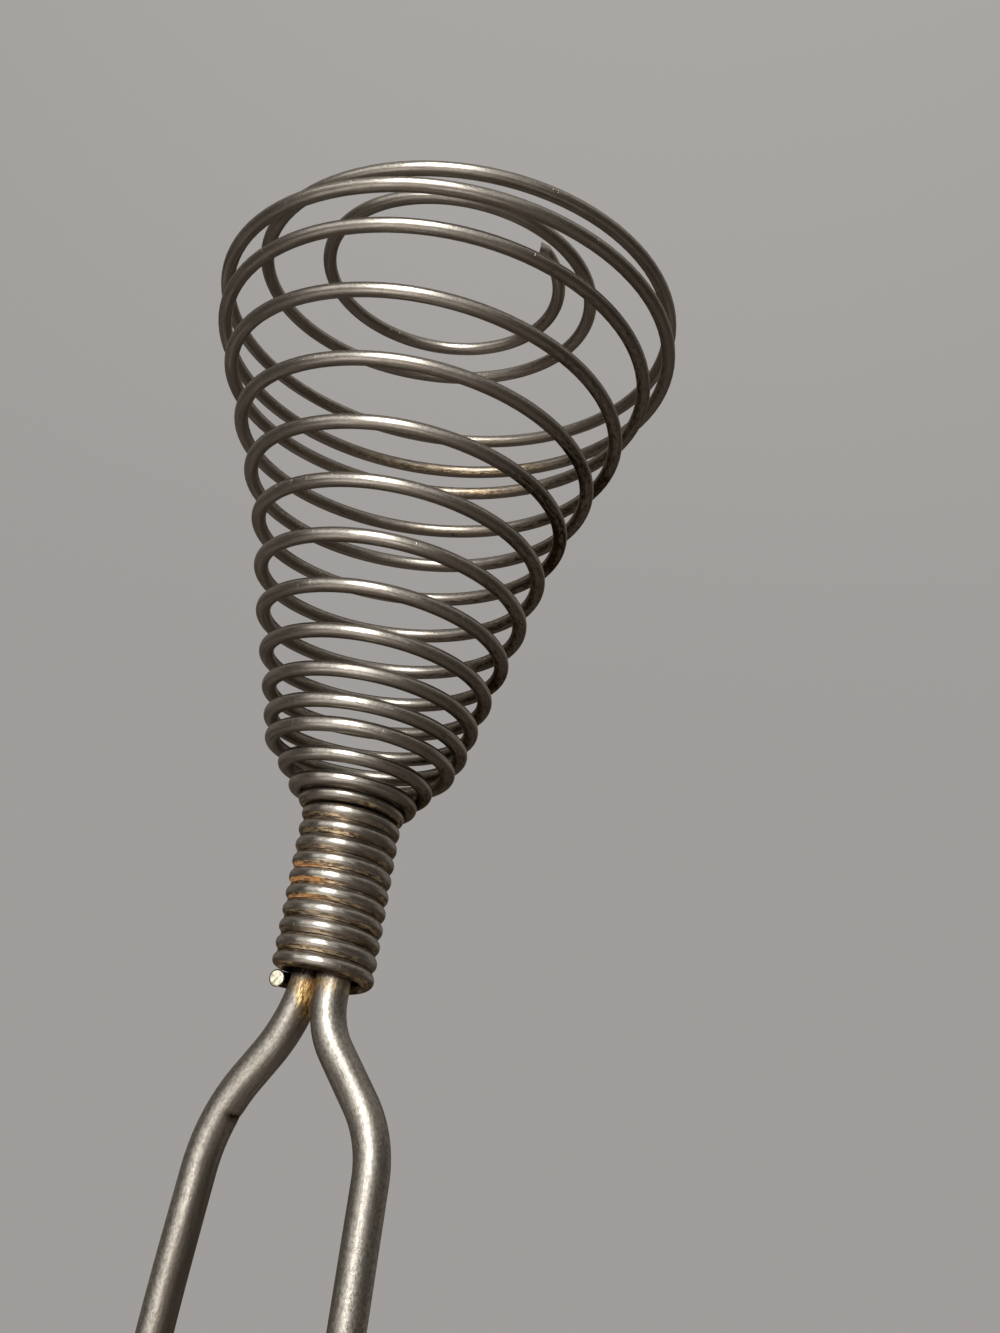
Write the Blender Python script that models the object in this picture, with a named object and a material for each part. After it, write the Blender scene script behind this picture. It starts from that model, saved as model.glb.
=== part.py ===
"""Spiral whisk: one spring wire wound as a collar, a cone and a flat face, on a looped wire handle.

Everything is in millimetres until a point is handed to Blender. The whisk stands on its own axis,
head up, and its origin is the middle of the grip, between the two legs of the handle. The legs lie
in the XZ plane. The coil's angle is counted against the clock as it rises, so it is left-handed.
"""

import math

import bpy
import numpy as np

# Driving dimensions, in millimetres and degrees
COIL_WIRE = 1.6
HANDLE_WIRE = 3.5
GRIP_TO_COLLAR = 115.0
LOOP_BELOW_GRIP = 82.7
LEG_GAP = 0.2
COLLAR_CLEARANCE = 0.2
COLLAR_TURN_GAP = 0.43
COLLAR_TURNS = 8.2
COLLAR_LEAD_IN = 1.0
START_ANGLE = 120.0
RIM_RADIUS = 27.3
CONE_HEIGHT = 61.0
FACE_RISE = 8.6
PAIR_TURN = -19.0
LEG_TOP_ABOVE_COLLAR = 0.5

# Where each leg bends apart: the lean of its slanted run, and the bend's radius at each end of it
LEFT_LEG_X = -11.3
LEFT_BEND_BELOW_COLLAR = 20.9
LEFT_LEAN = 34.0
LEFT_BEND_RADII = (5.0, 25.0)
RIGHT_LEG_X = 9.5
RIGHT_BEND_BELOW_COLLAR = 23.0
RIGHT_LEAN = 38.5
RIGHT_BEND_RADII = (8.0, 10.0)

# The cone and the face: turns above the collar, share of the way out from the collar to the rim,
# share of the cone's height, and share of the face's rise
COIL_STATIONS = (
    (-1.0, 0.000, -0.043, 0.00),
    (-0.5, 0.022, -0.026, 0.00),
    (0.5, 0.072, 0.005, 0.00),
    (1.75, 0.170, 0.046, 0.00),
    (3.25, 0.253, 0.101, 0.00),
    (5.0, 0.312, 0.190, 0.00),
    (7.0, 0.421, 0.338, 0.00),
    (9.0, 0.547, 0.520, 0.00),
    (11.0, 0.760, 0.722, 0.00),
    (12.3, 0.894, 0.868, 0.00),
    (13.2, 1.000, 0.939, 0.00),
    (13.9, 0.940, 0.988, 0.00),
    (14.4, 1.000, 1.000, 0.00),
    (14.8, 0.712, 1.000, 0.31),
    (15.2, 0.567, 1.000, 0.63),
    (15.7, 0.466, 1.000, 0.68),
    (16.4, 0.349, 1.000, 1.00),
)

# Facets
POINTS_PER_SMALL_TURN = 16
POINTS_PER_LARGE_TURN = 24
LARGE_TURN_RADIUS = 12.0
COIL_BEVEL_RESOLUTION = 1
HANDLE_BEVEL_RESOLUTION = 4
POINTS_PER_BEND = 7
POINTS_ROUND_LOOP = 16

# Sizes that follow from them
MM = 0.001
PAIR_HALF_SPAN = HANDLE_WIRE + LEG_GAP / 2
PAIR_OFFSET = (HANDLE_WIRE + LEG_GAP) / 2
COLLAR_RADIUS = (PAIR_HALF_SPAN + COLLAR_CLEARANCE + COIL_WIRE / 2) / math.cos(
    math.pi / POINTS_PER_SMALL_TURN)
COLLAR_PITCH = COIL_WIRE + COLLAR_TURN_GAP
LOOP_RADIUS = (RIGHT_LEG_X - LEFT_LEG_X) / 2
LOOP_CENTRE_X = (RIGHT_LEG_X + LEFT_LEG_X) / 2


def clear_scene():
    """Remove every object that the file opened with."""
    for thing in list(bpy.data.objects):
        bpy.data.objects.remove(thing, do_unlink=True)


def new_collection(name):
    """A collection linked to the scene."""
    collection = bpy.data.collections.new(name)
    bpy.context.scene.collection.children.link(collection)
    return collection


def steel(name, colour, roughness):
    """A drawn steel wire's material, with no coat on it."""
    material = bpy.data.materials.new(name)
    material.use_nodes = True
    shader = material.node_tree.nodes["Principled BSDF"]
    shader.inputs["Base Color"].default_value = (*colour, 1.0)
    shader.inputs["Metallic"].default_value = 1.0
    shader.inputs["Roughness"].default_value = roughness
    return material


def smooth_through(turns, stations, column):
    """One column of the stations at the given turns, by cubic pieces with averaged slopes."""
    known = np.array([station[0] for station in stations])
    values = np.array([station[column] for station in stations])
    slopes = np.gradient(values, known)
    index = np.clip(np.searchsorted(known, turns) - 1, 0, len(known) - 2)
    span = known[index + 1] - known[index]
    share = (turns - known[index]) / span
    start = values[index] * (1 + 2 * share) * (1 - share) ** 2
    end = values[index + 1] * share ** 2 * (3 - 2 * share)
    leaving = slopes[index] * span * share * (1 - share) ** 2
    arriving = slopes[index + 1] * span * share ** 2 * (share - 1)
    return start + end + leaving + arriving


def coil_radius_and_height(turns):
    """Radius and height above the collar of the coil wire's centre, at the given turns."""
    out = smooth_through(turns, COIL_STATIONS, 1)
    rise = smooth_through(turns, COIL_STATIONS, 2)
    dome = smooth_through(turns, COIL_STATIONS, 3)
    radius = COLLAR_RADIUS + (RIM_RADIUS - COLLAR_RADIUS) * out
    return radius, CONE_HEIGHT * rise + FACE_RISE * dome


def turns_along_coil():
    """Turn counts of the coil's points from the collar's cut end to the tip, finer where it is wide."""
    turns = [-COLLAR_LEAD_IN - COLLAR_TURNS]
    tip = COIL_STATIONS[-1][0]
    while turns[-1] < tip:
        at = max(turns[-1], -COLLAR_LEAD_IN)
        radius = coil_radius_and_height(np.array([at]))[0][0]
        count = POINTS_PER_LARGE_TURN if radius > LARGE_TURN_RADIUS else POINTS_PER_SMALL_TURN
        turns.append(min(turns[-1] + 1 / count, tip))
    return np.array(turns)


def coil_path():
    """Centre points of the coil wire, one row each: angle = start - 360 x turns."""
    turns = turns_along_coil()
    collar = turns < -COLLAR_LEAD_IN
    radius, height = coil_radius_and_height(np.maximum(turns, -COLLAR_LEAD_IN))
    height = height + np.where(collar, (turns + COLLAR_LEAD_IN) * COLLAR_PITCH, 0.0)
    angle = np.radians(START_ANGLE - 360.0 * turns)
    return np.column_stack((radius * np.cos(angle), radius * np.sin(angle), GRIP_TO_COLLAR + height))


def least_gap(points, wire, neighbours):
    """Least space between the wire's surface and itself, leaving out the nearest points along it."""
    starts, steps = points[:-1], np.diff(points, axis=0)
    least = math.inf
    for share in (0.0, 0.25, 0.5, 0.75):
        samples = starts + share * steps
        for index, sample in enumerate(samples):
            others = np.arange(len(starts))
            apart = np.abs(others - index) >= neighbours
            to_start = sample - starts[apart]
            run = steps[apart]
            along = np.clip((to_start * run).sum(axis=1) / (run * run).sum(axis=1), 0.0, 1.0)
            distance = np.linalg.norm(to_start - along[:, None] * run, axis=1)
            least = min(least, distance.min())
    return least - wire


def bend(corner, before, after, radius):
    """Points round a rounded corner between two straight runs."""
    arriving = (corner - before) / np.linalg.norm(corner - before)
    leaving = (after - corner) / np.linalg.norm(after - corner)
    turn = math.acos(np.clip(arriving @ leaving, -1.0, 1.0))
    reach = radius * math.tan(turn / 2)
    inward = (leaving - arriving) / np.linalg.norm(leaving - arriving)
    centre = corner + inward * radius / math.cos(turn / 2)
    across = corner - arriving * reach - centre
    points = []
    for share in np.linspace(0.0, 1.0, POINTS_PER_BEND):
        swing = turn * share
        points.append(centre + across * math.cos(swing) + arriving * radius * math.sin(swing))
    return points


def leg_path(side, leg_x, bend_below_collar, lean, radii):
    """Centre points of one leg from its cut top down to where it runs parallel to the other."""
    turn = math.radians(PAIR_TURN)
    in_collar = side * PAIR_OFFSET * np.array([math.cos(turn), math.sin(turn)])
    first_z = GRIP_TO_COLLAR - bend_below_collar
    second_z = first_z - abs(leg_x - in_collar[0]) / math.tan(math.radians(lean))
    top = np.array([*in_collar, GRIP_TO_COLLAR + LEG_TOP_ABOVE_COLLAR])
    first = np.array([*in_collar, first_z])
    second = np.array([leg_x, 0.0, second_z])
    below = np.array([leg_x, 0.0, second_z - 2 * radii[1]])
    return [top, *bend(first, top, second, radii[0]), *bend(second, first, below, radii[1])]


def handle_path():
    """Centre points of the handle wire: down the left leg, round the loop and up the right leg."""
    left = leg_path(-1, LEFT_LEG_X, LEFT_BEND_BELOW_COLLAR, LEFT_LEAN, LEFT_BEND_RADII)
    right = leg_path(1, RIGHT_LEG_X, RIGHT_BEND_BELOW_COLLAR, RIGHT_LEAN, RIGHT_BEND_RADII)
    centre_z = -LOOP_BELOW_GRIP + LOOP_RADIUS
    loop = []
    for angle in np.linspace(math.pi, 2 * math.pi, POINTS_ROUND_LOOP):
        loop.append(np.array([LOOP_CENTRE_X + LOOP_RADIUS * math.cos(angle), 0.0,
                              centre_z + LOOP_RADIUS * math.sin(angle)]))
    return np.array(left + loop + right[::-1])


def wire(name, points, diameter, resolution, material, collection):
    """A round wire along the given centre points, with its ends cut square."""
    curve = bpy.data.curves.new(name, "CURVE")
    curve.dimensions = "3D"
    curve.bevel_depth = diameter / 2 * MM
    curve.bevel_resolution = resolution
    curve.use_fill_caps = True
    spline = curve.splines.new("POLY")
    spline.points.add(len(points) - 1)
    for control, point in zip(spline.points, points):
        control.co = (*(point * MM), 1.0)
    curve.materials.append(material)
    thing = bpy.data.objects.new(name, curve)
    collection.objects.link(thing)
    return thing


def build_coil(collection):
    """The spring wire: collar, cone, rim and face, all one tube."""
    points = coil_path()
    gap = least_gap(points, COIL_WIRE, POINTS_PER_SMALL_TURN // 2)
    print(f"least gap of the coil wire to itself: {gap:.2f} mm over {len(points)} points")
    finish = steel("coil_steel", (0.27, 0.245, 0.21), 0.30)
    return wire("whisk_coil", points, COIL_WIRE, COIL_BEVEL_RESOLUTION, finish, collection)


def build_handle(collection):
    """The thicker wire that is folded into a loop and clamped by the collar."""
    finish = steel("handle_steel", (0.30, 0.275, 0.24), 0.34)
    return wire("handle_wire", handle_path(), HANDLE_WIRE, HANDLE_BEVEL_RESOLUTION, finish, collection)


def main():
    clear_scene()
    collection = new_collection("spiral_whisk")
    build_coil(collection)
    build_handle(collection)


main()
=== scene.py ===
"""Spiral whisk: fine wire surfaces, drawn-steel finishes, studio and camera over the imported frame.

The whisk is two pieces of bent wire. Each is one closed tube: a round profile carried along the
wire's centre line, with its cut ends turned in to a pole. Lengths are in millimetres inside the
classes of the wires and become metres when a mesh is made. The materials and the studio are in
metres. The frame is the CAD's: +Z runs from the grip up to the head, X across the handle's two
legs, and the origin is the middle of the grip.
"""

from __future__ import annotations

import logging
import math
from dataclasses import dataclass
from enum import Enum

import bpy
import numpy as np
from mathutils import Matrix, Vector

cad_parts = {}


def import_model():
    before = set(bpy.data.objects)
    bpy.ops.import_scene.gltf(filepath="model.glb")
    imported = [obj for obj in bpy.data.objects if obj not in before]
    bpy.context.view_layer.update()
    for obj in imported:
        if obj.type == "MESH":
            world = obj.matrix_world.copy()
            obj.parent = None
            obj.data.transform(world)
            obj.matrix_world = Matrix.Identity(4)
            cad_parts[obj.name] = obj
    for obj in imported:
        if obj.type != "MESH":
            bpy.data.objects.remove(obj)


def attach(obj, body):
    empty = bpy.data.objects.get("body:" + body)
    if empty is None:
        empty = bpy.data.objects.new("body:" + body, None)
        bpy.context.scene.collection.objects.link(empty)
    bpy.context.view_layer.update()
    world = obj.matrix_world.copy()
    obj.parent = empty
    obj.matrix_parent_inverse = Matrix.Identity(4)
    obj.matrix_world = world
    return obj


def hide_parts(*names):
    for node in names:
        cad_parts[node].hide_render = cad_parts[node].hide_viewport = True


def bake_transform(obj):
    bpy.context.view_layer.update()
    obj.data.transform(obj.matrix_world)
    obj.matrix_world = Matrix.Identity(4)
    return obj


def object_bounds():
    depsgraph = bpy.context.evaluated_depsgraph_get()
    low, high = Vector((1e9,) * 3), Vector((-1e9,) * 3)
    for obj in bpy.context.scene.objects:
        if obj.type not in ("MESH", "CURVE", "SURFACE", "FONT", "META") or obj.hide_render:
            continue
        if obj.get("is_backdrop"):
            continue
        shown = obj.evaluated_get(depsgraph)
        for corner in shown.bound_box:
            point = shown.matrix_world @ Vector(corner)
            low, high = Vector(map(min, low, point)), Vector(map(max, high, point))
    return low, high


LOG = logging.getLogger("spiral_whisk")
MM = 0.001
COLLAR_TOP = 115.0

Colour = tuple[float, float, float]
Point = tuple[float, float, float]
Span = tuple[float, float]
Array = np.ndarray
Socket = bpy.types.NodeSocket


class WireEnd(Enum):
    """How a wire's end was cut: a shear leaves a flat face, side cutters leave a wedge."""

    SHEARED = "sheared"
    PINCHED = "pinched"


def smooth_steps(low: float, high: float, value: Array) -> Array:
    """Rise from 0 at low to 1 at high along 3t^2 - 2t^3.

    Args:
        low: value where the rise starts.
        high: value where it ends, which may be the smaller one.
        value: values to read it at.

    Returns:
        The share risen, between 0 and 1.
    """
    share = np.clip((value - low) / (high - low), 0.0, 1.0)
    return share * share * (3.0 - 2.0 * share)


def unit(rows: Array) -> Array:
    """Rows of vectors, each divided by its own length."""
    return rows / np.linalg.norm(rows, axis=-1, keepdims=True)


def run_lengths(points: Array) -> Array:
    """Distance of each point of a line from its first, measured along the line."""
    steps = np.linalg.norm(np.diff(points, axis=0), axis=1)
    return np.concatenate(([0.0], np.cumsum(steps)))


def side_angles(sides: int) -> Array:
    """Even angles round a ring in radians, from 0, which is a wire's outward side."""
    return np.linspace(0.0, 2.0 * math.pi, sides, endpoint=False)


def facing(place: Array, angle: float) -> Array:
    """Cosine between places round the axis, in radians, and an angle in degrees."""
    return np.cos(place - math.radians(angle))


@dataclass(frozen=True)
class Wander:
    """Smooth random values along a line: random heights a step apart, joined by smooth steps."""

    step: float
    seed: int
    weight: float = 1.0

    def at(self, position: Array) -> Array:
        """Read the values along the line.

        Args:
            position: distances along the line, in the step's unit.

        Returns:
            One value between -weight and +weight for each position, the same on each run.
        """
        cell = (position - position.min()) / self.step
        heights = np.random.default_rng(self.seed).uniform(-1.0, 1.0, int(cell.max()) + 3)
        index = cell.astype(int)
        share = smooth_steps(0.0, 1.0, cell - index)
        return self.weight * (heights[index] * (1.0 - share) + heights[index + 1] * share)


@dataclass
class WireTube:
    """A round wire's surface over its centre line.

    The surface is P(s, v) = C(s) + r(s, v) (cos v N(s) + sin v B(s)), with C the centre line, N the
    outward side given for each point, B = T x N, and v the angle round the wire. Each end closes
    in rings that shrink to a pole.
    """

    name: str
    centre: Array
    outward: Array
    diameter: float
    sides: int
    heel: WireEnd = WireEnd.SHEARED
    toe: WireEnd = WireEnd.SHEARED
    swell: Array | None = None
    cap_shares: tuple[float, ...] = (0.985, 0.93, 0.86, 0.62, 0.3)
    wedge_shares: tuple[float, ...] = (0.96, 0.76, 0.52, 0.29, 0.08)
    flat_rings: int = 2
    chamfer: float = 0.06
    wedge_length: float = 1.1
    wedge_narrowing: float = 0.25
    sharp_angle: float = 35.0

    def frames(self) -> tuple[Array, Array, Array]:
        """Work out the wire's own directions along its centre line.

        Returns:
            Tangent, outward side and third side at each point.
        """
        tangent = unit(np.gradient(self.centre, axis=0))
        lean = (self.outward * tangent).sum(axis=1, keepdims=True)
        outward = unit(self.outward - lean * tangent)
        return tangent, outward, np.cross(tangent, outward)

    def cap_rings(self, along: float, cut: WireEnd) -> tuple[Array, Array, Array]:
        """Offsets along the wire and radius shares of the rings that close one end.

        A sheared end turns in over a small chamfer to a flat face. A pinched one narrows evenly
        on two sides to a ridge.

        Args:
            along: +1 at the last point, -1 at the first.
            cut: how the end was cut.

        Returns:
            Offsets in millimetres, and shares of the radius outward and across that.
        """
        if cut is WireEnd.SHEARED:
            shares = np.array(self.cap_shares)
            offsets = self.chamfer * np.minimum(1.0, (1.0 - shares) / (1.0 - shares[2]))
            return along * offsets, shares, shares
        shares = np.array(self.wedge_shares)
        offsets = self.wedge_length * (1.0 - shares)
        return along * offsets, shares, 1.0 - self.wedge_narrowing * (1.0 - shares)

    def build(self, marks: dict[str, Array]) -> bpy.types.Object:
        """Make the closed tube with its marks as attributes.

        Args:
            marks: values for each ring and side, by attribute name, such as rust.

        Returns:
            The tube, at the origin, its place in its mesh.
        """
        tangent, outward, third = self.frames()
        angle = side_angles(self.sides)
        radius = np.full((len(self.centre), self.sides), self.diameter / 2.0)
        if self.swell is not None:
            radius = radius + self.swell
        heel = self.cap_rings(-1.0, self.heel)
        toe = self.cap_rings(1.0, self.toe)
        count, body = len(self.cap_shares), np.ones(len(self.centre))
        ring = np.concatenate((np.zeros(count, int), np.arange(len(self.centre)),
                               np.full(count, len(self.centre) - 1)))
        offset = np.concatenate((heel[0][::-1], 0.0 * body, toe[0]))
        share_out = np.concatenate((heel[1][::-1], body, toe[1]))
        share_up = np.concatenate((heel[2][::-1], body, toe[2]))
        centre = self.centre[ring] + offset[:, None] * tangent[ring]
        reach_out = radius[ring] * share_out[:, None] * np.cos(angle)
        reach_up = radius[ring] * share_up[:, None] * np.sin(angle)
        surface = (centre[:, None, :] + reach_out[:, :, None] * outward[ring][:, None, :]
                   + reach_up[:, :, None] * third[ring][:, None, :])
        along = run_lengths(self.centre)[ring] + offset
        place = np.stack((np.broadcast_to(along[:, None], reach_out.shape), reach_out, reach_up),
                         axis=-1)
        pole_place = np.array([[along[0], 0.0, 0.0], [along[-1], 0.0, 0.0]])
        points = np.concatenate((surface.reshape(-1, 3), centre[[0, -1]])) * MM
        mesh = bpy.data.meshes.new(self.name)
        mesh.from_pydata(points.tolist(), [], self.faces(len(ring)))
        self.write(mesh, "wire_place", np.concatenate((place.reshape(-1, 3), pole_place)) * MM)
        for name, values in marks.items():
            over_caps = values[ring].reshape(-1)
            self.write(mesh, name, np.concatenate((over_caps, over_caps[[0, -1]])))
        self.mark_cut_faces(mesh, len(ring))
        mesh.shade_smooth()
        mesh.set_sharp_from_angle(angle=math.radians(self.sharp_angle))
        piece = bpy.data.objects.new(self.name, mesh)
        bpy.context.scene.collection.objects.link(piece)
        return piece

    def faces(self, rings: int) -> list[tuple[int, ...]]:
        """Join the vertices into faces that point outwards.

        Args:
            rings: number of rings, those of the closed ends included.

        Returns:
            Quads between neighbouring rings, then a fan of triangles at each pole.
        """
        first = np.arange(rings * self.sides).reshape(rings, self.sides)
        beside = np.roll(first, -1, axis=1)
        quads = np.stack((first[:-1], beside[:-1], beside[1:], first[1:]), axis=-1).reshape(-1, 4)
        low_pole, high_pole = rings * self.sides, rings * self.sides + 1
        low = np.stack((beside[0], first[0], np.full(self.sides, low_pole)), axis=-1)
        high = np.stack((first[-1], beside[-1], np.full(self.sides, high_pole)), axis=-1)
        return [tuple(face) for group in (quads, low, high) for face in group.tolist()]

    def mark_cut_faces(self, mesh: bpy.types.Mesh, rings: int) -> None:
        """Give a sheared end's face the second material slot: two rings and the fan.

        Args:
            mesh: the tube's mesh, its quads in order along the wire and then the two fans.
            rings: number of rings, those of the closed ends included.
        """
        quads = (rings - 1) * self.sides
        slots = np.zeros(len(mesh.polygons), dtype=np.int32)
        if self.heel is WireEnd.SHEARED:
            slots[: self.flat_rings * self.sides] = 1
            slots[quads: quads + self.sides] = 1
        if self.toe is WireEnd.SHEARED:
            slots[quads - self.flat_rings * self.sides: quads] = 1
            slots[quads + self.sides:] = 1
        mesh.polygons.foreach_set("material_index", slots)

    @staticmethod
    def write(mesh: bpy.types.Mesh, name: str, values: Array) -> None:
        """Store one value or one vector for each vertex.

        Args:
            mesh: the tube's mesh.
            name: the attribute's name.
            values: numbers, or rows of three.
        """
        kind, field_name = ("FLOAT_VECTOR", "vector") if values.ndim == 2 else ("FLOAT", "value")
        attribute = mesh.attributes.new(name, kind, "POINT")
        attribute.data.foreach_set(field_name, values.astype(np.float32).ravel())


@dataclass(frozen=True)
class Grain:
    """Fractal noise on a wire: cells per metre along and across it, octaves, weight of each."""

    along: float
    across: float
    detail: float
    roughness: float


@dataclass(frozen=True)
class Stain:
    """How noise breaks up a mark's soft edge: weights of both, and the sums it shows between."""

    noise_weight: float
    shows: float
    whole: float
    mark_weight: float = 0.7


class NodePen:
    """Adds and joins shader nodes of one material or world."""

    def __init__(self, tree: bpy.types.NodeTree) -> None:
        """Start on an existing node tree."""
        self.tree = tree

    def add(self, kind: str, **settings: object) -> bpy.types.Node:
        """Add a node.

        Args:
            kind: the node's type.
            settings: its properties.

        Returns:
            The node.
        """
        node = self.tree.nodes.new(kind)
        for name, value in settings.items():
            setattr(node, name, value)
        return node

    def feed(self, node: bpy.types.Node, socket: str | int, source: object) -> None:
        """Join another node's socket to an input, or set the input to a plain value.

        Args:
            node: the node that is fed.
            socket: the input's name or number.
            source: a socket or a value.
        """
        if isinstance(source, Socket):
            self.tree.links.new(source, node.inputs[socket])
        else:
            node.inputs[socket].default_value = source

    def mark(self, name: str) -> Socket:
        """The value of a vertex attribute."""
        return self.add("ShaderNodeAttribute", attribute_name=name).outputs["Fac"]

    def noise(self, grain: Grain) -> Socket:
        """Add a fractal noise on the wire.

        Args:
            grain: its cells and octaves.

        Returns:
            The noise's value, about 0.5 in the mean.
        """
        place = self.add("ShaderNodeAttribute", attribute_name="wire_place")
        mapping = self.add("ShaderNodeMapping")
        self.feed(mapping, "Vector", place.outputs["Vector"])
        mapping.inputs["Scale"].default_value = (grain.along, grain.across, grain.across)
        node = self.add("ShaderNodeTexNoise")
        self.feed(node, "Vector", mapping.outputs["Vector"])
        node.inputs["Scale"].default_value = 1.0
        node.inputs["Detail"].default_value = grain.detail
        node.inputs["Roughness"].default_value = grain.roughness
        return node.outputs["Fac"]

    def spread(self, value: object, low: float, high: float, start: float = 0.0,
               end: float = 1.0) -> Socket:
        """Carry a value smoothly from one range to another, held at both ends.

        Args:
            value: a socket.
            low: where the result is start.
            high: where it is end.
            start: the first result.
            end: the last result.

        Returns:
            The result.
        """
        node = self.add("ShaderNodeMapRange", interpolation_type="SMOOTHSTEP")
        self.feed(node, "Value", value)
        for socket, number in zip(("From Min", "From Max", "To Min", "To Max"),
                                  (low, high, start, end)):
            node.inputs[socket].default_value = number
        return node.outputs["Result"]

    def combine(self, operation: str, first: object, second: object) -> Socket:
        """Combine two values, held between 0 and 1.

        Args:
            operation: MULTIPLY, ADD or MAXIMUM.
            first: a socket or a number.
            second: a socket or a number.

        Returns:
            The result.
        """
        node = self.add("ShaderNodeMath", operation=operation, use_clamp=True)
        self.feed(node, 0, first)
        self.feed(node, 1, second)
        return node.outputs[0]

    def stained(self, stain: Stain, mark: object, noise: object) -> Socket:
        """Break a mark's soft edge up by a noise.

        Args:
            stain: how the two are weighed.
            mark: how far the stain has got, 0 to 1.
            noise: the noise's value.

        Returns:
            The stain's share.
        """
        broken = self.combine("ADD", self.combine("MULTIPLY", noise, stain.noise_weight),
                              self.combine("MULTIPLY", mark, stain.mark_weight))
        return self.spread(broken, stain.shows, stain.whole)

    def between(self, share: object, first: object, second: object) -> Socket:
        """Mix two values.

        Args:
            share: share of the second.
            first: a socket or a number.
            second: a socket or a number.

        Returns:
            The mixed value.
        """
        node = self.add("ShaderNodeMix", data_type="FLOAT")
        for index, source in ((0, share), (2, first), (3, second)):
            self.feed(node, index, source)
        return node.outputs[0]

    def blend_colour(self, share: object, first: object, second: object) -> Socket:
        """Mix two colours.

        Args:
            share: share of the second.
            first: a socket or a colour.
            second: a socket or a colour.

        Returns:
            The mixed colour.
        """
        node = self.add("ShaderNodeMix", data_type="RGBA")
        self.feed(node, 0, share)
        for index, colour in ((6, first), (7, second)):
            value = colour if isinstance(colour, Socket) else (*colour, 1.0)
            self.feed(node, index, value)
        return node.outputs[2]

    def bump(self, height: object, distance: float, under: Socket | None = None) -> Socket:
        """Turn a height into a tilted normal.

        Args:
            height: the height, in parts of the distance.
            distance: in metres.
            under: the normal that it adds to.

        Returns:
            The normal.
        """
        node = self.add("ShaderNodeBump")
        self.feed(node, "Height", height)
        node.inputs["Distance"].default_value = distance
        if under is not None:
            self.feed(node, "Normal", under)
        return node.outputs["Normal"]


def start_material(name: str) -> tuple[bpy.types.Material, NodePen, bpy.types.Node]:
    """Start a node material.

    Args:
        name: the material's name.

    Returns:
        The material, a pen for its nodes and its shader.
    """
    made = bpy.data.materials.new(name)
    made.use_nodes = True
    return made, NodePen(made.node_tree), made.node_tree.nodes["Principled BSDF"]


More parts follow.
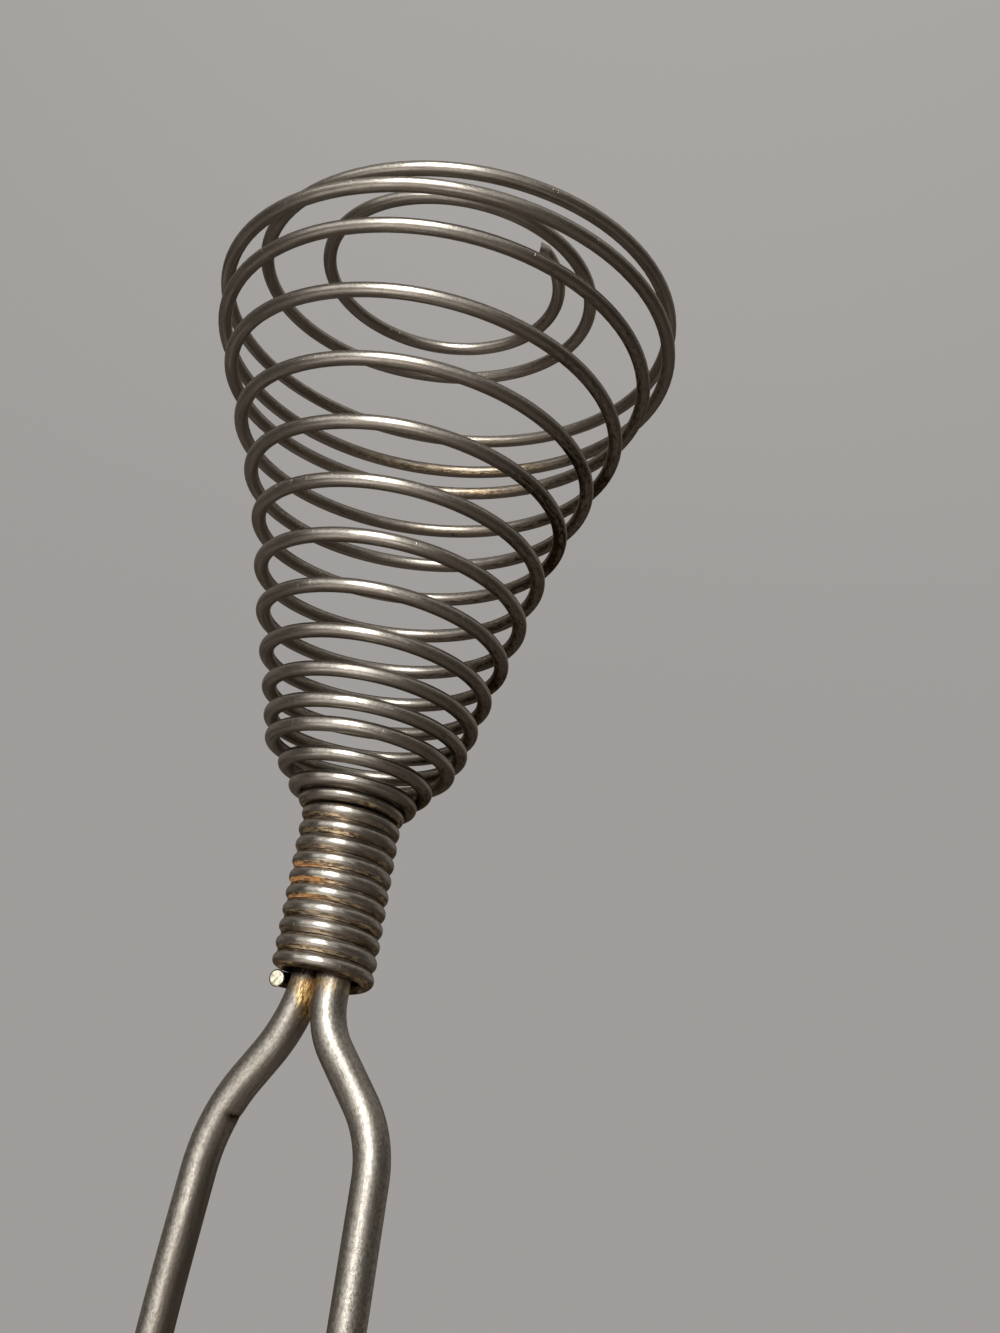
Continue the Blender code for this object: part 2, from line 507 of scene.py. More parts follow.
@dataclass(frozen=True)
class DrawnSteel:
    """Bare drawn wire, old and used: fine pits, brown film, rust where marked, bright nicks.

    The marks come from the mesh: tarnish_and_shade gives the film and the thick dirt, and also
    painted shade and painted shadow in their colours; rust gives a golden glaze where it is weak
    and a crust where it is strong. Depths are in metres.
    """

    name: str
    clean: Colour
    pits: Grain
    pit_depth: float
    pit_shade: float
    polished: float
    dulled: float
    # Brown colour of the film; where the marks paint shade, this colour paints it too.
    filmed_and_shaded: Colour = (0.142, 0.116, 0.093)
    # Near black: thick dirt in the collar's seams, and painted shade and painted shadow.
    caked_dirt_and_shadow: Colour = (0.026, 0.019, 0.013)
    edge: Colour = (0.42, 0.40, 0.37)
    # A golden stain; the handle's brighter one is also a painted highlight.
    gold_tint_and_highlight: Colour = (0.50, 0.375, 0.22)
    rust_pale: Colour = (0.40, 0.185, 0.060)
    rust_dark: Colour = (0.080, 0.048, 0.028)
    streaks: Grain = Grain(170.0, 3600.0, 4.0, 0.62)
    clouds: Grain = Grain(110.0, 420.0, 3.0, 0.55)
    flecks: Grain = Grain(1100.0, 4400.0, 3.0, 0.7)
    nicks: Grain = Grain(4200.0, 900.0, 1.0, 0.5)
    film_and_shade: Stain = Stain(0.5, 0.28, 0.76)
    caking_and_shade: Stain = Stain(0.6, 0.82, 1.0)
    glaze: Stain = Stain(0.5, 0.32, 0.62)
    crust: Stain = Stain(0.4, 0.66, 0.90)
    cloud_span: Span = (0.50, 0.80)
    cloud_film: float = 0.5
    glaze_share: float = 0.8
    pit_span: Span = (0.62, 0.34)
    gold_span: Span = (0.44, 0.58)
    scale_span: Span = (0.30, 0.55)
    nick_span: Span = (0.715, 0.755)
    nick_depth: float = 0.000012
    crust_depth: float = 0.00003
    crust_metallic: float = 0.15
    crust_roughness: float = 0.85

    def material(self) -> bpy.types.Material:
        """Build the node material.

        Returns:
            The material.
        """
        made, pen, shader = start_material(self.name)
        streaks, pits, flecks = map(pen.noise, (self.streaks, self.pits, self.flecks))
        clouds = pen.spread(pen.noise(self.clouds), *self.cloud_span)
        # tarnish_and_shade holds brown film and dirt, and also painted shade and painted shadow.
        grime_and_shade = pen.combine("MAXIMUM", pen.mark("tarnish_and_shade"),
                            pen.combine("MULTIPLY", clouds, self.cloud_film))
        rust = pen.mark("rust")
        film_and_shade = pen.stained(self.film_and_shade, grime_and_shade, streaks)
        glaze = pen.stained(self.glaze, rust, streaks)
        crust = pen.stained(self.crust, rust, flecks)
        pitted = tuple(self.pit_shade * channel for channel in self.clean)
        bare = pen.blend_colour(pen.spread(pits, *self.pit_span), self.clean, pitted)
        # dirt is brown film and thick dirt, and the painted shade and shadow drawn in their colours.
        dirt = pen.blend_colour(pen.stained(self.caking_and_shade, grime_and_shade, flecks), self.filmed_and_shaded, self.caked_dirt_and_shadow)
        amber = pen.blend_colour(pen.spread(flecks, *self.gold_span), self.rust_dark, self.gold_tint_and_highlight)
        scale = pen.blend_colour(pen.spread(pits, *self.scale_span), self.rust_dark,
                                 self.rust_pale)
        colour = pen.blend_colour(film_and_shade, bare, dirt)
        colour = pen.blend_colour(pen.combine("MULTIPLY", glaze, self.glaze_share), colour, amber)
        pen.feed(shader, "Base Color", pen.blend_colour(crust, colour, scale))
        pen.feed(shader, "Metallic", pen.spread(crust, 0.0, 1.0, 1.0, self.crust_metallic))
        sheen = pen.between(pen.combine("ADD", film_and_shade, glaze), self.polished, self.dulled)
        pen.feed(shader, "Roughness", pen.between(crust, sheen, self.crust_roughness))
        shader.inputs["Specular Tint"].default_value = (*self.edge, 1.0)
        nicks = pen.spread(pen.noise(self.nicks), *self.nick_span)
        tilt = pen.bump(nicks, self.nick_depth, pen.bump(pits, self.pit_depth))
        pen.feed(shader, "Normal", pen.bump(crust, self.crust_depth, tilt))
        return made


@dataclass(frozen=True)
class ShearedSteel:
    """A wire's cut face: bright torn metal with a few flats."""

    name: str = "sheared_steel"
    colour: Colour = (0.90, 0.84, 0.66)
    shade: Colour = (0.50, 0.44, 0.32)
    tears: Grain = Grain(1500.0, 2400.0, 2.0, 0.6)
    shade_span: Span = (0.42, 0.62)
    tear_depth: float = 0.0001
    metallic: float = 0.85
    roughness: float = 0.42

    def material(self) -> bpy.types.Material:
        """Build the node material.

        Returns:
            The material.
        """
        made, pen, shader = start_material(self.name)
        tears = pen.noise(self.tears)
        shaded = pen.spread(tears, *self.shade_span)
        pen.feed(shader, "Base Color", pen.blend_colour(shaded, self.colour, self.shade))
        shader.inputs["Metallic"].default_value = self.metallic
        shader.inputs["Roughness"].default_value = self.roughness
        pen.feed(shader, "Normal", pen.bump(tears, self.tear_depth))
        return made


@dataclass(frozen=True)
class CoilWear:
    """Where the coil wire is rusty, where it is brown, and where shade is painted on it.

    Angles are in degrees round the whisk's axis, depths in millimetres below the collar's top,
    and starts and ends in turns above the collar, but lowest_turn counts from the cut end. The
    spans of a side are sines or cosines of the angle round the wire, those of a facing are
    cosines round the axis.
    """

    collar_end: Span = (1.0, -0.8)
    seam_below: Span = (-0.30, -0.66)
    seam_above: Span = (0.50, 0.82)
    seam_above_share: float = 0.8
    under_side: Span = (0.15, -0.70)
    inner_side: Span = (0.2, -0.9)
    hidden_side: Span = (0.1, -0.5)
    seam_rust: float = 0.33
    seam_patches: Wander = Wander(3.0, 11, 0.18)
    seam_bits: Wander = Wander(0.9, 29)
    bit_span: Span = (0.5, 0.9)
    bit_rust: float = 0.22
    rust_angle: float = 252.0
    rust_facing: Span = (0.45, 0.95)
    rust_depth: float = 9.3
    rust_reach: float = 2.85
    rust_peak: float = 0.72
    stain_angle: float = 116.0
    stain_facing: Span = (0.68, 0.98)
    stain_start: Span = (9.4, 12.4)
    stain_end: Span = (14.4, 13.6)
    stain_rust: float = 0.37
    spots: Wander = Wander(24.0, 43)
    spot_span: Span = (0.1, 0.9)
    spot_end: Span = (13.8, 12.0)
    spot_rust: float = 0.24
    # Painted shade: the cone's undersides darker on the side facing this angle, fading out towards
    # the face.
    painted_shade_angle: float = 30.0
    painted_shade_facing: Span = (-0.1, 0.9)
    painted_shade_end: Span = (15.5, 11.5)
    painted_side_shade: float = 0.26
    # The cone's undersides: brown film, and partly painted shade.
    underside_film_and_shade: float = 0.54
    inner_film: float = 0.15
    blotches: Wander = Wander(13.0, 5)
    blotch_span: Span = (0.45, 0.95)
    blotch_film: float = 0.13
    # Collar: dirt in the seams below each turn, and painted shade on each turn's top under the turn
    # above.
    collar_dirt_and_shade: float = 0.80
    collar_patches: Wander = Wander(2.3, 17, 0.16)
    # Painted shade: the lowest turn darker still.
    lowest_turn: Span = (1.1, 0.9)
    lowest_turn_shade: float = 0.12
    # Painted shade: the collar's inner side, facing the axis, near black.
    hidden_side_shade: float = 1.05

    def marks(self, tube: WireTube, turns: Array, place: Array) -> dict[str, Array]:
        """Rust, and brown film with painted shade, for each ring and side.

        Args:
            tube: the wire's tube.
            turns: turn count of each ring.
            place: angle of each ring round the axis, in radians.

        Returns:
            The two marks by attribute name.
        """
        rust, film_and_shade = self.rust_at(tube, turns, place), self.film_at(tube, turns, place)
        return {"rust": np.clip(rust, 0.0, 1.0), "tarnish_and_shade": np.clip(film_and_shade, 0.0, 1.0)}

    def rust_at(self, tube: WireTube, turns: Array, place: Array) -> Array:
        """Rust where turns of the collar meet, and a weak golden stain inside the cone.

        Most of the rust is on the side that the loop's left leg comes from, half way down, where
        it fades with height as exp(-(distance / reach)^2). The stain is on the cone's upper turns
        at the back, and in spots.

        Args:
            tube: the wire's tube.
            turns: turn count of each ring.
            place: angle of each ring round the axis, in radians.

        Returns:
            The rust for each ring and side.
        """
        angle, along = side_angles(tube.sides), run_lengths(tube.centre)
        depth = COLLAR_TOP - tube.centre[:, 2]
        level = np.exp(-((depth - self.rust_depth) / self.rust_reach) ** 2)
        level = level * smooth_steps(*self.rust_facing, facing(place, self.rust_angle))
        bits = smooth_steps(*self.bit_span, self.seam_bits.at(along))
        patch = self.seam_rust + self.seam_patches.at(along)
        patch = patch + self.bit_rust * bits + self.rust_peak * level
        below = smooth_steps(*self.seam_below, np.sin(angle))
        above = self.seam_above_share * smooth_steps(*self.seam_above, np.sin(angle))
        back = smooth_steps(*self.stain_facing, facing(place, self.stain_angle))
        back = back * smooth_steps(*self.stain_start, turns) * smooth_steps(*self.stain_end, turns)
        spots = smooth_steps(*self.spot_span, self.spots.at(along))
        spots = spots * smooth_steps(*self.spot_end, turns)
        stain = np.maximum(self.stain_rust * back, self.spot_rust * spots)
        in_collar = smooth_steps(*self.collar_end, turns)
        inner = smooth_steps(*self.inner_side, np.cos(angle))
        return ((in_collar * patch)[:, None] * np.maximum(below, above)
                + ((1.0 - in_collar) * stain)[:, None] * inner)

    def film_at(self, tube: WireTube, turns: Array, place: Array) -> Array:
        """Brown film, partly painted shade, under the cone; dirt and painted shade in the collar.

        The painted shade makes the undersides darker on one side of the cone; the film is weak
        inside it. The dirt is in the collar's seams, even in its lowest turn; painted shade darkens
        the top of each turn under the turn above, the lowest turn and the hidden side.

        Args:
            tube: the wire's tube.
            turns: turn count of each ring.
            place: angle of each ring round the axis, in radians.

        Returns:
            The film and painted shade for each ring and side.
        """
        angle, along = side_angles(tube.sides), run_lengths(tube.centre)
        under = smooth_steps(*self.under_side, np.sin(angle))
        above = smooth_steps(*self.seam_above, np.sin(angle))
        inner = smooth_steps(*self.inner_side, np.cos(angle))
        hidden = smooth_steps(*self.hidden_side, np.cos(angle))
        blotch = smooth_steps(*self.blotch_span, self.blotches.at(along))
        # Painted shade on one side of the cone's undersides.
        shaded_side = smooth_steps(*self.painted_shade_facing, facing(place, self.painted_shade_angle))
        shaded_side = shaded_side * smooth_steps(*self.painted_shade_end, turns)
        # Brown film on the undersides, partly painted shade.
        film_and_shade = self.underside_film_and_shade + self.blotch_film * blotch + self.painted_side_shade * shaded_side
        film_and_shade = film_and_shade[:, None] * under + self.inner_film * inner
        # Collar: seam dirt, with painted shade on the turns' tops and the lowest turn.
        lowest = smooth_steps(*self.lowest_turn, turns - turns[0])
        patches = self.collar_patches.at(along) * (1.0 - lowest)
        caking_and_shade = (self.collar_dirt_and_shade + patches + self.lowest_turn_shade * lowest)[:, None]
        # Painted shade: the collar's inner side near black.
        caking_and_shade = np.maximum(caking_and_shade * np.maximum(under, above), self.hidden_side_shade * hidden)
        return film_and_shade + smooth_steps(*self.collar_end, turns)[:, None] * (caking_and_shade - film_and_shade)


@dataclass
class CoilWire:
    """The spring wire, wound left-handed: collar, cone, rim and the two turns of the face.

    A station of the run is a count of turns above the collar, the radius there and the height
    over the collar's top. The heel's and the burr's run and the crust's starts are in turns from
    the cut end, the crust's ends in turns from the run's first station.
    """

    diameter: float = 1.6
    sides: int = 30
    collar_pitch: float = 1.70
    collar_turns: float = 10.2
    start_angle: float = 120.0
    points_per_turn: int = 96
    heel_lift: float = 0.4
    heel_run: float = 0.09
    burr: float = 0.09
    burr_run: float = 0.012
    body: str = "coil"
    carrier: str = "handle"
    run: tuple[Point, ...] = (
        (-1.0, 4.43, -2.0),
        (-0.5, 4.8, -1.2),
        (0.5, 6.1, 0.0),
        (1.5, 7.5, 2.1),
        (2.5, 9.6, 4.5),
        (3.5, 10.3, 6.8),
        (5.0, 11.6, 11.6),
        (7.0, 14.1, 20.5),
        (9.0, 17.0, 31.7),
        (10.0, 19.2, 37.6),
        (10.8, 21.2, 42.7),
        (11.6, 23.3, 48.1),
        (12.4, 25.2, 53.9),
        (12.9, 25.9, 55.1),
        (13.2, 27.4, 57.7),
        (13.6, 26.6, 58.5),
        (13.9, 25.8, 60.1),
        (14.3, 27.1, 62.5),
        (14.6, 23.9, 62.4),
        (15.0, 18.8, 66.0),
        (15.5, 16.3, 66.2),
        (16.34, 12.75, 68.5),
    )
    crust_slant: Span = (0.76, 0.90)
    crust_least_slant: float = 0.5
    crust_outer_side: float = -0.1
    crust_fullness: float = 0.88
    crust_wander: Wander = Wander(0.03, 21, 0.12)
    crust_above_start: Span = (0.012, 0.05)
    crust_above_end: Span = (-0.7, -1.1)
    crust_below_start: Span = (0.96, 1.06)
    crust_below_end: Span = (0.2, 0.0)
    wear: CoilWear = CoilWear()
    steel: DrawnSteel = DrawnSteel(
        "coil_drawn_steel", clean=(0.53, 0.488, 0.424), pits=Grain(2400.0, 5200.0, 3.0, 0.62),
        pit_depth=0.000008, pit_shade=0.70, polished=0.25, dulled=0.40)

    def along_run(self, turns: Array, column: int) -> Array:
        """Read one column of the run at any turn, by cubic pieces with averaged slopes.

        Args:
            turns: turns above the collar.
            column: 1 for the radius, 2 for the height over the collar's top.

        Returns:
            The column's value at each turn, in millimetres.
        """
        known, values = (np.array([row[place] for row in self.run]) for place in (0, column))
        slopes = np.gradient(values, known)
        index = np.clip(np.searchsorted(known, turns) - 1, 0, len(known) - 2)
        span = known[index + 1] - known[index]
        share = (turns - known[index]) / span
        start = values[index] * (1 + 2 * share) * (1 - share) ** 2
        end = values[index + 1] * share ** 2 * (3 - 2 * share)
        leaving = slopes[index] * span * share * (1 - share) ** 2
        arriving = slopes[index + 1] * span * share ** 2 * (share - 1)
        return start + end + leaving + arriving

    def turns(self) -> Array:
        """Share the wire out in even parts of a turn.

        Returns:
            Turn counts from the collar's cut end up to the tip.
        """
        first = self.run[0][0] - self.collar_turns
        last = self.run[-1][0]
        return np.linspace(first, last, int((last - first) * self.points_per_turn))

    def places(self, turns: Array) -> Array:
        """Angle round the axis in radians: the start's, less a whole round for each turn."""
        return np.radians(self.start_angle - 360.0 * turns)

    def centre_line(self, turns: Array) -> Array:
        """Centre of the wire: (r cos a, r sin a, height), with radius, height and angle by turn.

        The collar has an even pitch, and the run's stations follow it. The cut end stands off.

        Args:
            turns: turn counts.

        Returns:
            A point for each turn count, in millimetres.
        """
        lead_in = self.run[0][0]
        above = np.maximum(turns, lead_in)
        height = self.along_run(above, 2) + np.minimum(turns - lead_in, 0.0) * self.collar_pitch
        lift = self.heel_lift * smooth_steps(self.heel_run, 0.0, turns - turns[0])
        radius = self.along_run(above, 1) + lift
        angle = self.places(turns)
        return np.column_stack((radius * np.cos(angle), radius * np.sin(angle),
                                COLLAR_TOP + height))

    def seam_crust(self, turns: Array) -> Array:
        """How far dirt and rust fill the groove between two turns, and the burr of the cut end.

        From a slant of 50 degrees on, the radius grows towards the flat that is half a pitch from
        the wire's middle: r = half pitch / sin of the slant. The groove above a turn is filled
        from the cut end to the cone's start, the one below from the second turn on.

        Args:
            turns: turn count of each ring.

        Returns:
            What is added to the radius for each ring and side, in millimetres.
        """
        angle = side_angles(self.sides)
        slant = np.abs(np.sin(angle))
        flat = self.collar_pitch / 2.0 / np.maximum(slant, self.crust_least_slant)
        flat = flat - self.diameter / 2.0
        outer = np.cos(angle) > self.crust_outer_side
        groove = flat * smooth_steps(*self.crust_slant, slant) * outer
        from_heel, over_collar = turns - turns[0], turns - self.run[0][0]
        above = (smooth_steps(*self.crust_above_start, from_heel)
                 * smooth_steps(*self.crust_above_end, over_collar))
        below = (smooth_steps(*self.crust_below_start, from_heel)
                 * smooth_steps(*self.crust_below_end, over_collar))
        beside = np.where(np.sin(angle) > 0.0, above[:, None], below[:, None])
        fullness = self.crust_fullness + self.crust_wander.at(turns)
        burr = self.burr * smooth_steps(self.burr_run, 0.0, from_heel)
        return fullness[:, None] * beside * groove + burr[:, None]

    def build(self) -> bpy.types.Object:
        """Wind the wire, give it its finish and hide the frame's coil.

        Returns:
            The finished piece.
        """
        turns = self.turns()
        centre = self.centre_line(turns)
        tube = WireTube("coil_wire", centre, centre * (1.0, 1.0, 0.0), self.diameter, self.sides,
                        toe=WireEnd.PINCHED, swell=self.seam_crust(turns))
        piece = tube.build(self.wear.marks(tube, turns, self.places(turns)))
        piece.data.materials.append(self.steel.material())
        piece.data.materials.append(ShearedSteel().material())
        self.follow_spring(piece, tube)
        return piece

    def follow_spring(self, piece: bpy.types.Object, tube: WireTube) -> None:
        """Hide the frame's coil and bake the piece's place into its mesh.

        Each ring's share of the height from the collar's top to the face is worked out; nothing uses
        it.

        Args:
            piece: the wire's object.
            tube: the wire's tube.
        """
        height = tube.centre[:, 2]
        top = height.max()
        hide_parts("whisk_coil")
        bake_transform(piece)
        share = np.clip((height - COLLAR_TOP) / (top - COLLAR_TOP), 0.0, 1.0)
        caps = len(tube.cap_shares)
        share = np.concatenate((np.full(caps, share[0]), share, np.full(caps, share[-1])))


@dataclass(frozen=True)
class Leg:
    """One leg of the handle: it leans out to a knee, then flares a little and runs straight.

    The lean and the flare are in degrees from upright. The radii are those of its three bends.
    """

    side: int
    knee_x: float
    bend_below_collar: float
    lean: float
    flare: float
    foot_x: float
    radii: tuple[float, float, float]


@dataclass(frozen=True)
class Crease:
    """The crease pinched in where the left leg's lower bend is tightest, spread in degrees."""

    height: float = 82.7
    width: float = 0.33
    depth: float = 0.28
    angle: float = 271.0
    spread: float = 34.0

    def share(self, tube: WireTube) -> Array:
        """Share of the crease, which fades as exp(-(distance / width)^2) along and round the wire.

        Args:
            tube: the wire's tube.

        Returns:
            The share for each ring and side, 1 in the crease's middle.
        """
        along = run_lengths(tube.centre)
        off = np.abs(tube.centre[:, 2] - self.height)
        middle = np.argmin(np.where(tube.centre[:, 0] > 0.0, np.inf, off))
        away = (along - along[middle]) / self.width
        slant = np.abs(np.degrees(side_angles(tube.sides)) - self.angle) / self.spread
        return np.exp(-away[:, None] ** 2 - slant ** 2)


@dataclass(frozen=True)
class HandleWear:
    """Where the handle wire is rusty, where it is brown, and where a shadow is painted on it.

    Rust creeps out of the collar's mouth where the legs face each other. Where the legs run up
    into the mouth, a painted shadow makes them near black. Spans in height are in millimetres
    above the mouth.
    """

    mouth_below_collar: float = 20.0
    inward_side: Span = (-0.35, 0.9)
    creep_left: Span = (-2.0, -0.2)
    creep_right: Span = (-1.6, 0.2)
    creep_rust: float = 0.30
    creep_inward_rust: float = 0.20
    deep: Span = (-4.4, -1.5)
    deep_rust: float = 0.34
    deep_film: float = 0.30
    inward_film: float = 0.52
    blotches: Wander = Wander(15.0, 8)
    blotch_span: Span = (0.4, 1.0)
    blotch_film: float = 0.12
    # Darker in the crease.
    crease_darkening: float = 0.75
    # Painted shadow: the legs near black where they run up into the collar's mouth.
    mouth_shadow: Span = (0.7, 1.2)
    mouth_shadow_darkness: float = 1.2

    def marks(self, tube: WireTube, crease: Array) -> dict[str, Array]:
        """Rust, and brown film with a painted shadow at the mouth, for each ring and side.

        Args:
            tube: the wire's tube.
            crease: share of the crease for each ring and side.

        Returns:
            The two marks by attribute name.
        """
        across, rise = tube.centre[:, 0], tube.centre[:, 2] - COLLAR_TOP + self.mouth_below_collar
        toward = -np.sign(across) * np.sign(np.gradient(rise))
        side = np.sin(side_angles(tube.sides)) * toward[:, None]
        inward = smooth_steps(*self.inward_side, side)
        creep = np.where(across < 0.0, smooth_steps(*self.creep_left, rise),
                         smooth_steps(*self.creep_right, rise))[:, None]
        deep = smooth_steps(*self.deep, rise)[:, None]
        mouth_shadow = smooth_steps(*self.mouth_shadow, rise)[:, None]
        rust = creep * (self.creep_rust + self.creep_inward_rust * inward)
        rust = rust + self.deep_rust * deep * inward ** 4
        blotch = smooth_steps(*self.blotch_span, self.blotches.at(run_lengths(tube.centre)))
        film_and_shade = self.blotch_film * blotch[:, None] + self.crease_darkening * crease
        film_and_shade = film_and_shade + (self.inward_film + self.deep_film * deep) * inward ** 2
        # The painted shadow in the mouth covers the film and takes away the rust.
        film_and_shade, rust = np.maximum(film_and_shade, self.mouth_shadow_darkness * mouth_shadow), rust * (1.0 - mouth_shadow)
        return {"rust": np.clip(rust, 0.0, 1.0), "tarnish_and_shade": np.clip(film_and_shade, 0.0, 1.0)}


@dataclass
class HandleWire:
    """The handle wire: two legs clamped side by side, bent apart, and closed in a loop."""

    diameter: float = 3.55
    sides: int = 48
    pair_turn: float = -14.0
    leg_top: float = 0.5
    loop_bottom: float = -82.675
    spacing: float = 0.32
    bend_points: int = 24
    loop_points: int = 64
    run_out: float = 40.0
    legs: tuple[Leg, Leg] = (
        Leg(-1, -9.83, 22.2, 36.4, 4.85, -11.75, (17.0, 18.0, 250.0)),
        Leg(1, 9.5, 23.8, 38.7, 0.65, 9.75, (8.0, 11.0, 250.0)),
    )
    body: str = "handle"
    crease: Crease = Crease()
    wear: HandleWear = HandleWear()
    # Its golden glaze is brighter than a stain alone: a painted highlight on the legs below the
    # collar.
    steel: DrawnSteel = DrawnSteel(
        "handle_drawn_steel", clean=(0.425, 0.392, 0.338), pits=Grain(2700.0, 3700.0, 3.0, 0.62),
        pit_depth=0.00003, pit_shade=0.62, polished=0.38, dulled=0.48, gold_tint_and_highlight=(0.98, 0.68, 0.27),
        rust_dark=(0.22, 0.120, 0.045), clouds=Grain(70.0, 260.0, 3.0, 0.55))

    def arc(self, corner: Array, before: Array, after: Array, radius: float) -> Array:
        """Points round a rounded corner: centre + across cos a + arriving r sin a.

        Args:
            corner: where the two straight runs would meet.
            before: a point on the run that arrives.
            after: a point on the run that leaves.
            radius: radius of the bend's centre line.

        Returns:
            Points from the end of the first run to the start of the second.
        """
        arriving, leaving = unit(corner - before), unit(after - corner)
        turn = math.acos(float(np.clip(arriving @ leaving, -1.0, 1.0)))
        reach = radius * math.tan(turn / 2.0)
        centre = corner + unit(leaving - arriving) * radius / math.cos(turn / 2.0)
        across = corner - arriving * reach - centre
        swing = np.linspace(0.0, turn, self.bend_points)[:, None]
        return centre + across * np.cos(swing) + arriving * radius * np.sin(swing)

    def leg_line(self, leg: Leg) -> Array:
        """Bend one leg's centre line.

        Args:
            leg: the leg's sizes.

        Returns:
            Points from its cut top to where it runs parallel to the other leg.
        """
        turn = math.radians(self.pair_turn)
        pair = leg.side * self.diameter / 2.0 * np.array([math.cos(turn), math.sin(turn)])
        bend_z = COLLAR_TOP - leg.bend_below_collar
        knee_z = bend_z - abs(leg.knee_x - pair[0]) / math.tan(math.radians(leg.lean))
        foot_z = knee_z - abs(leg.foot_x - leg.knee_x) / math.tan(math.radians(leg.flare))
        corners = np.array([[*pair, COLLAR_TOP + self.leg_top], [*pair, bend_z],
                            [leg.knee_x, 0.0, knee_z], [leg.foot_x, 0.0, foot_z],
                            [leg.foot_x, 0.0, foot_z - self.run_out]])
        bends = [self.arc(corners[i], corners[i - 1], corners[i + 1], leg.radii[i - 1])
                 for i in (1, 2, 3)]
        return np.vstack((corners[:1], *bends))

    def centre_line(self) -> Array:
        """Join left leg, loop and right leg.

        Returns:
            The whole wire's centre line at even steps.
        """
        left, right = (self.leg_line(leg) for leg in self.legs)
        radius = (self.legs[1].foot_x - self.legs[0].foot_x) / 2.0
        middle = (self.legs[1].foot_x + self.legs[0].foot_x) / 2.0
        swing = np.linspace(math.pi, 2.0 * math.pi, self.loop_points)
        loop = np.column_stack((middle + radius * np.cos(swing), np.zeros_like(swing),
                                self.loop_bottom + radius * (1.0 + np.sin(swing))))
        line = np.vstack((left, loop, right[::-1]))
        run = run_lengths(line)
        even = np.linspace(0.0, run[-1], int(run[-1] / self.spacing))
        return np.column_stack([np.interp(even, run, line[:, axis]) for axis in range(3)])

    def build(self) -> bpy.types.Object:
        """Bend the wire and give it its finish.

        Returns:
            The finished piece.
        """
        centre = self.centre_line()
        outward = np.tile((0.0, -1.0, 0.0), (len(centre), 1))
        tube = WireTube("handle_loop_wire", centre, outward, self.diameter, self.sides)
        crease = self.crease.share(tube)
        tube.swell = -self.crease.depth * crease
        piece = tube.build(self.wear.marks(tube, crease))
        piece.data.materials.append(self.steel.material())
        piece.data.materials.append(ShearedSteel().material())
        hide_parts("handle_wire")
        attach(piece, self.body)
        return piece


@dataclass(frozen=True)
class Lamp:
    """An area lamp: place, the point that it faces and size in metres, and power in watts."""

    name: str
    place: Point
    aim: Point
    size: Span
    power: float

    def build(self, base: float = 0.0) -> None:
        """Hang the lamp and turn it to its aim.

        Args:
            base: the height in metres that its place and its aim are counted from.
        """
        light = bpy.data.lights.new(self.name, "AREA")
        light.shape = "RECTANGLE"
        light.size, light.size_y = self.size
        light.energy = self.power
        lamp = bpy.data.objects.new(self.name, light)
        lamp.location = Vector(self.place) + Vector((0.0, 0.0, base))
        heading = Vector(self.aim) - Vector(self.place)
        lamp.rotation_euler = heading.to_track_quat("-Z", "Y").to_euler()
        bpy.context.scene.collection.objects.link(lamp)


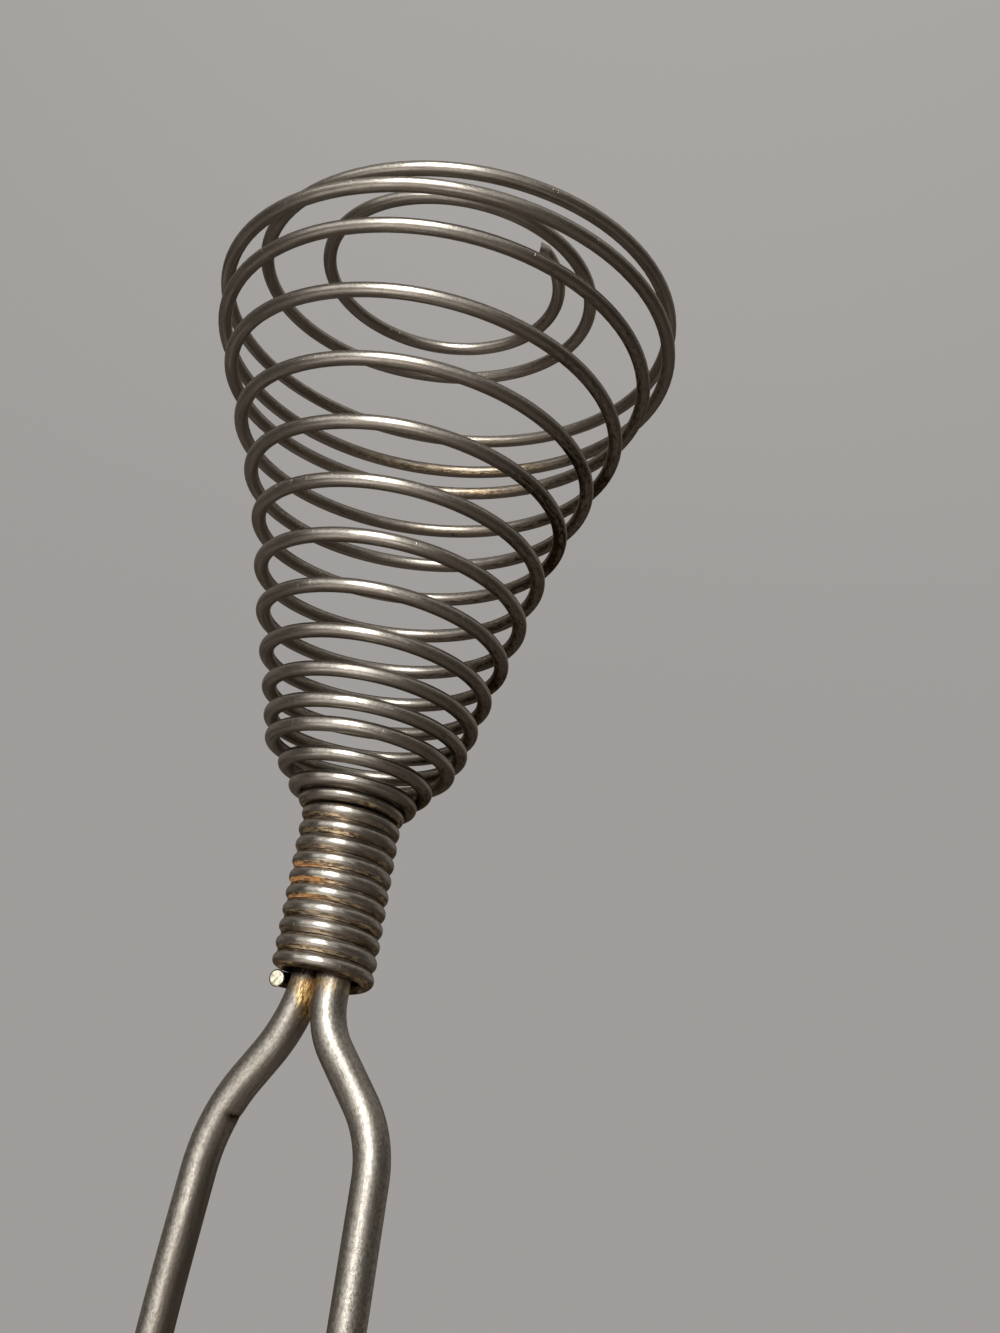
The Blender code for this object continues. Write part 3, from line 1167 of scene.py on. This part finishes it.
@dataclass
class Studio:
    """Pale floor that runs out into a pale room, a tall window, two fills and a bounce card.

    The card lies on the floor, which its heights are counted from, and lights only what faces
    down. Spans of the room are cosines to its back and to straight up.
    """

    floor_colour: Colour = (0.50, 0.475, 0.45)
    floor_roughness: float = 0.9
    floor_reach: float = 6.0
    floor_fade: Span = (0.26, 0.56)
    floor_rings: int = 24
    floor_sides: int = 96
    room_behind: Colour = (0.350, 0.336, 0.327)
    room_ahead: Colour = (0.088, 0.077, 0.067)
    room_above: Colour = (0.43, 0.415, 0.40)
    behind: Point = (-0.50, 0.866, 0.0)
    behind_span: Span = (0.0, 0.85)
    above_span: Span = (0.35, 0.95)
    lamps: tuple[Lamp, ...] = (
        Lamp("tall_window", (0.119, -0.537, 0.435), (0.0, 0.0, 0.435), (0.25, 0.72), 4.2),
        Lamp("left_fill", (-0.31, -1.16, 0.45), (0.0, 0.0, 0.15), (1.1, 1.1), 3.4),
        Lamp("right_fill", (0.372, -0.471, 0.34), (0.0, 0.0, 0.34), (0.40, 0.72), 0.42),
    )
    card: Lamp = Lamp("bounce_card", (-0.03, -0.36, 0.004), (-0.03, -0.36, 1.0), (0.36, 0.40), 1.0)

    def room_colour(self, pen: NodePen, direction: Socket) -> Socket:
        """Colour the room: pale behind, dimmer ahead, paler overhead.

        Args:
            pen: nodes of the material or the world.
            direction: the direction looked in, one long.

        Returns:
            The room's colour there.
        """
        back = pen.add("ShaderNodeVectorMath", operation="DOT_PRODUCT")
        pen.feed(back, 0, direction)
        back.inputs[1].default_value = self.behind
        level = pen.blend_colour(pen.spread(back.outputs["Value"], *self.behind_span),
                                 self.room_ahead, self.room_behind)
        parts = pen.add("ShaderNodeSeparateXYZ")
        pen.feed(parts, 0, direction)
        return pen.blend_colour(pen.spread(parts.outputs["Z"], *self.above_span), level,
                                self.room_above)

    def floor(self, height: float) -> None:
        """Lay a wide disc of rings: the radius grows with the square of the ring's share.

        Args:
            height: the floor's height in metres.
        """
        ring = np.linspace(0.0, 1.0, self.floor_rings + 1)[1:] ** 2 * self.floor_reach
        angle = side_angles(self.floor_sides)
        x, y = np.outer(ring, np.cos(angle)).ravel(), np.outer(ring, np.sin(angle)).ravel()
        points = np.vstack((np.column_stack((x, y, np.full(x.shape, height))), (0.0, 0.0, height)))
        first = np.arange(len(x)).reshape(len(ring), len(angle))
        beside = np.roll(first, -1, axis=1)
        quads = np.stack((first[:-1], first[1:], beside[1:], beside[:-1]), axis=-1).reshape(-1, 4)
        fan = np.stack((first[0], beside[0], np.full(len(angle), len(x))), axis=-1)
        mesh = bpy.data.meshes.new("studio_floor")
        mesh.from_pydata(points.tolist(), [], quads.tolist() + fan.tolist())
        mesh.materials.append(self.floor_material())
        floor = bpy.data.objects.new("studio_floor", mesh)
        bpy.context.scene.collection.objects.link(floor)
        floor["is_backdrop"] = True

    def floor_material(self) -> bpy.types.Material:
        """Matt pale paint near the whisk, running out into the room's own colour far away.

        Returns:
            The material.
        """
        made, pen, paint = start_material("studio_floor_paint")
        paint.inputs["Base Color"].default_value = (*self.floor_colour, 1.0)
        paint.inputs["Roughness"].default_value = self.floor_roughness
        place = pen.add("ShaderNodeTexCoord").outputs["Object"]
        away = pen.add("ShaderNodeVectorMath", operation="LENGTH")
        pen.feed(away, 0, place)
        level = pen.add("ShaderNodeVectorMath", operation="MULTIPLY")
        pen.feed(level, 0, place)
        level.inputs[1].default_value = (1.0, 1.0, 0.0)
        heading = pen.add("ShaderNodeVectorMath", operation="NORMALIZE")
        pen.feed(heading, 0, level.outputs["Vector"])
        far = pen.add("ShaderNodeEmission")
        pen.feed(far, "Color", self.room_colour(pen, heading.outputs["Vector"]))
        mix = pen.add("ShaderNodeMixShader")
        pen.feed(mix, 0, pen.spread(away.outputs["Value"], *self.floor_fade))
        pen.feed(mix, 1, paint.outputs[0])
        pen.feed(mix, 2, far.outputs[0])
        pen.feed(made.node_tree.nodes["Material Output"], "Surface", mix.outputs[0])
        return made

    def room(self) -> None:
        """The world, coloured by direction."""
        world = bpy.data.worlds.new("studio_room")
        world.use_nodes = True
        bpy.context.scene.world = world
        pen = NodePen(world.node_tree)
        background = world.node_tree.nodes["Background"]
        direction = pen.add("ShaderNodeTexCoord").outputs["Generated"]
        pen.feed(background, "Color", self.room_colour(pen, direction))

    def build(self, floor_height: float) -> None:
        """Set up floor, room and lamps, and the plain view transform.

        Args:
            floor_height: the floor's height in metres.
        """
        self.floor(floor_height)
        self.room()
        for lamp in self.lamps:
            lamp.build()
        self.card.build(floor_height)
        bpy.context.scene.view_settings.view_transform = "Standard"


@dataclass
class PhotoCamera:
    """The photograph's camera: below the head, close by, turned to the whisk's front right.

    Its place is in millimetres, its angles in degrees, and its clip distances in metres.
    """

    place: Point = (82.3, -116.7, 73.3)
    heading: float = -30.0
    rise: float = 22.55
    roll: float = -8.67
    focal_pixels: float = 1400.0
    frame_height: float = 1333.0
    sensor: float = 36.0
    clip: Span = (0.005, 20.0)

    def build(self) -> None:
        """Place the camera: heading from +Y towards +X, then the rise, then the roll."""
        data = bpy.data.cameras.new("photo_camera")
        data.sensor_fit = "VERTICAL"
        data.sensor_height = self.sensor
        data.lens = self.sensor * self.focal_pixels / self.frame_height
        data.clip_start, data.clip_end = self.clip
        camera = bpy.data.objects.new("photo_camera", data)
        turn = (Matrix.Rotation(-math.radians(self.heading), 4, "Z")
                @ Matrix.Rotation(math.radians(90.0 + self.rise), 4, "X")
                @ Matrix.Rotation(-math.radians(self.roll), 4, "Z"))
        camera.matrix_world = Matrix.Translation(Vector(self.place) * MM) @ turn
        bpy.context.scene.collection.objects.link(camera)
        bpy.context.scene.camera = camera


def main() -> None:
    """Load the frame, build the wires, then the studio and the camera."""
    logging.basicConfig(level=logging.INFO, format="%(name)s: %(message)s")
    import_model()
    frame_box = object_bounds()
    for wire in (CoilWire(), HandleWire()):
        piece = wire.build()
        LOG.info("%s: %d faces", piece.name, len(piece.data.polygons))
    Studio().build(frame_box[0][2])
    PhotoCamera().build()


if __name__ == "__main__":
    main()
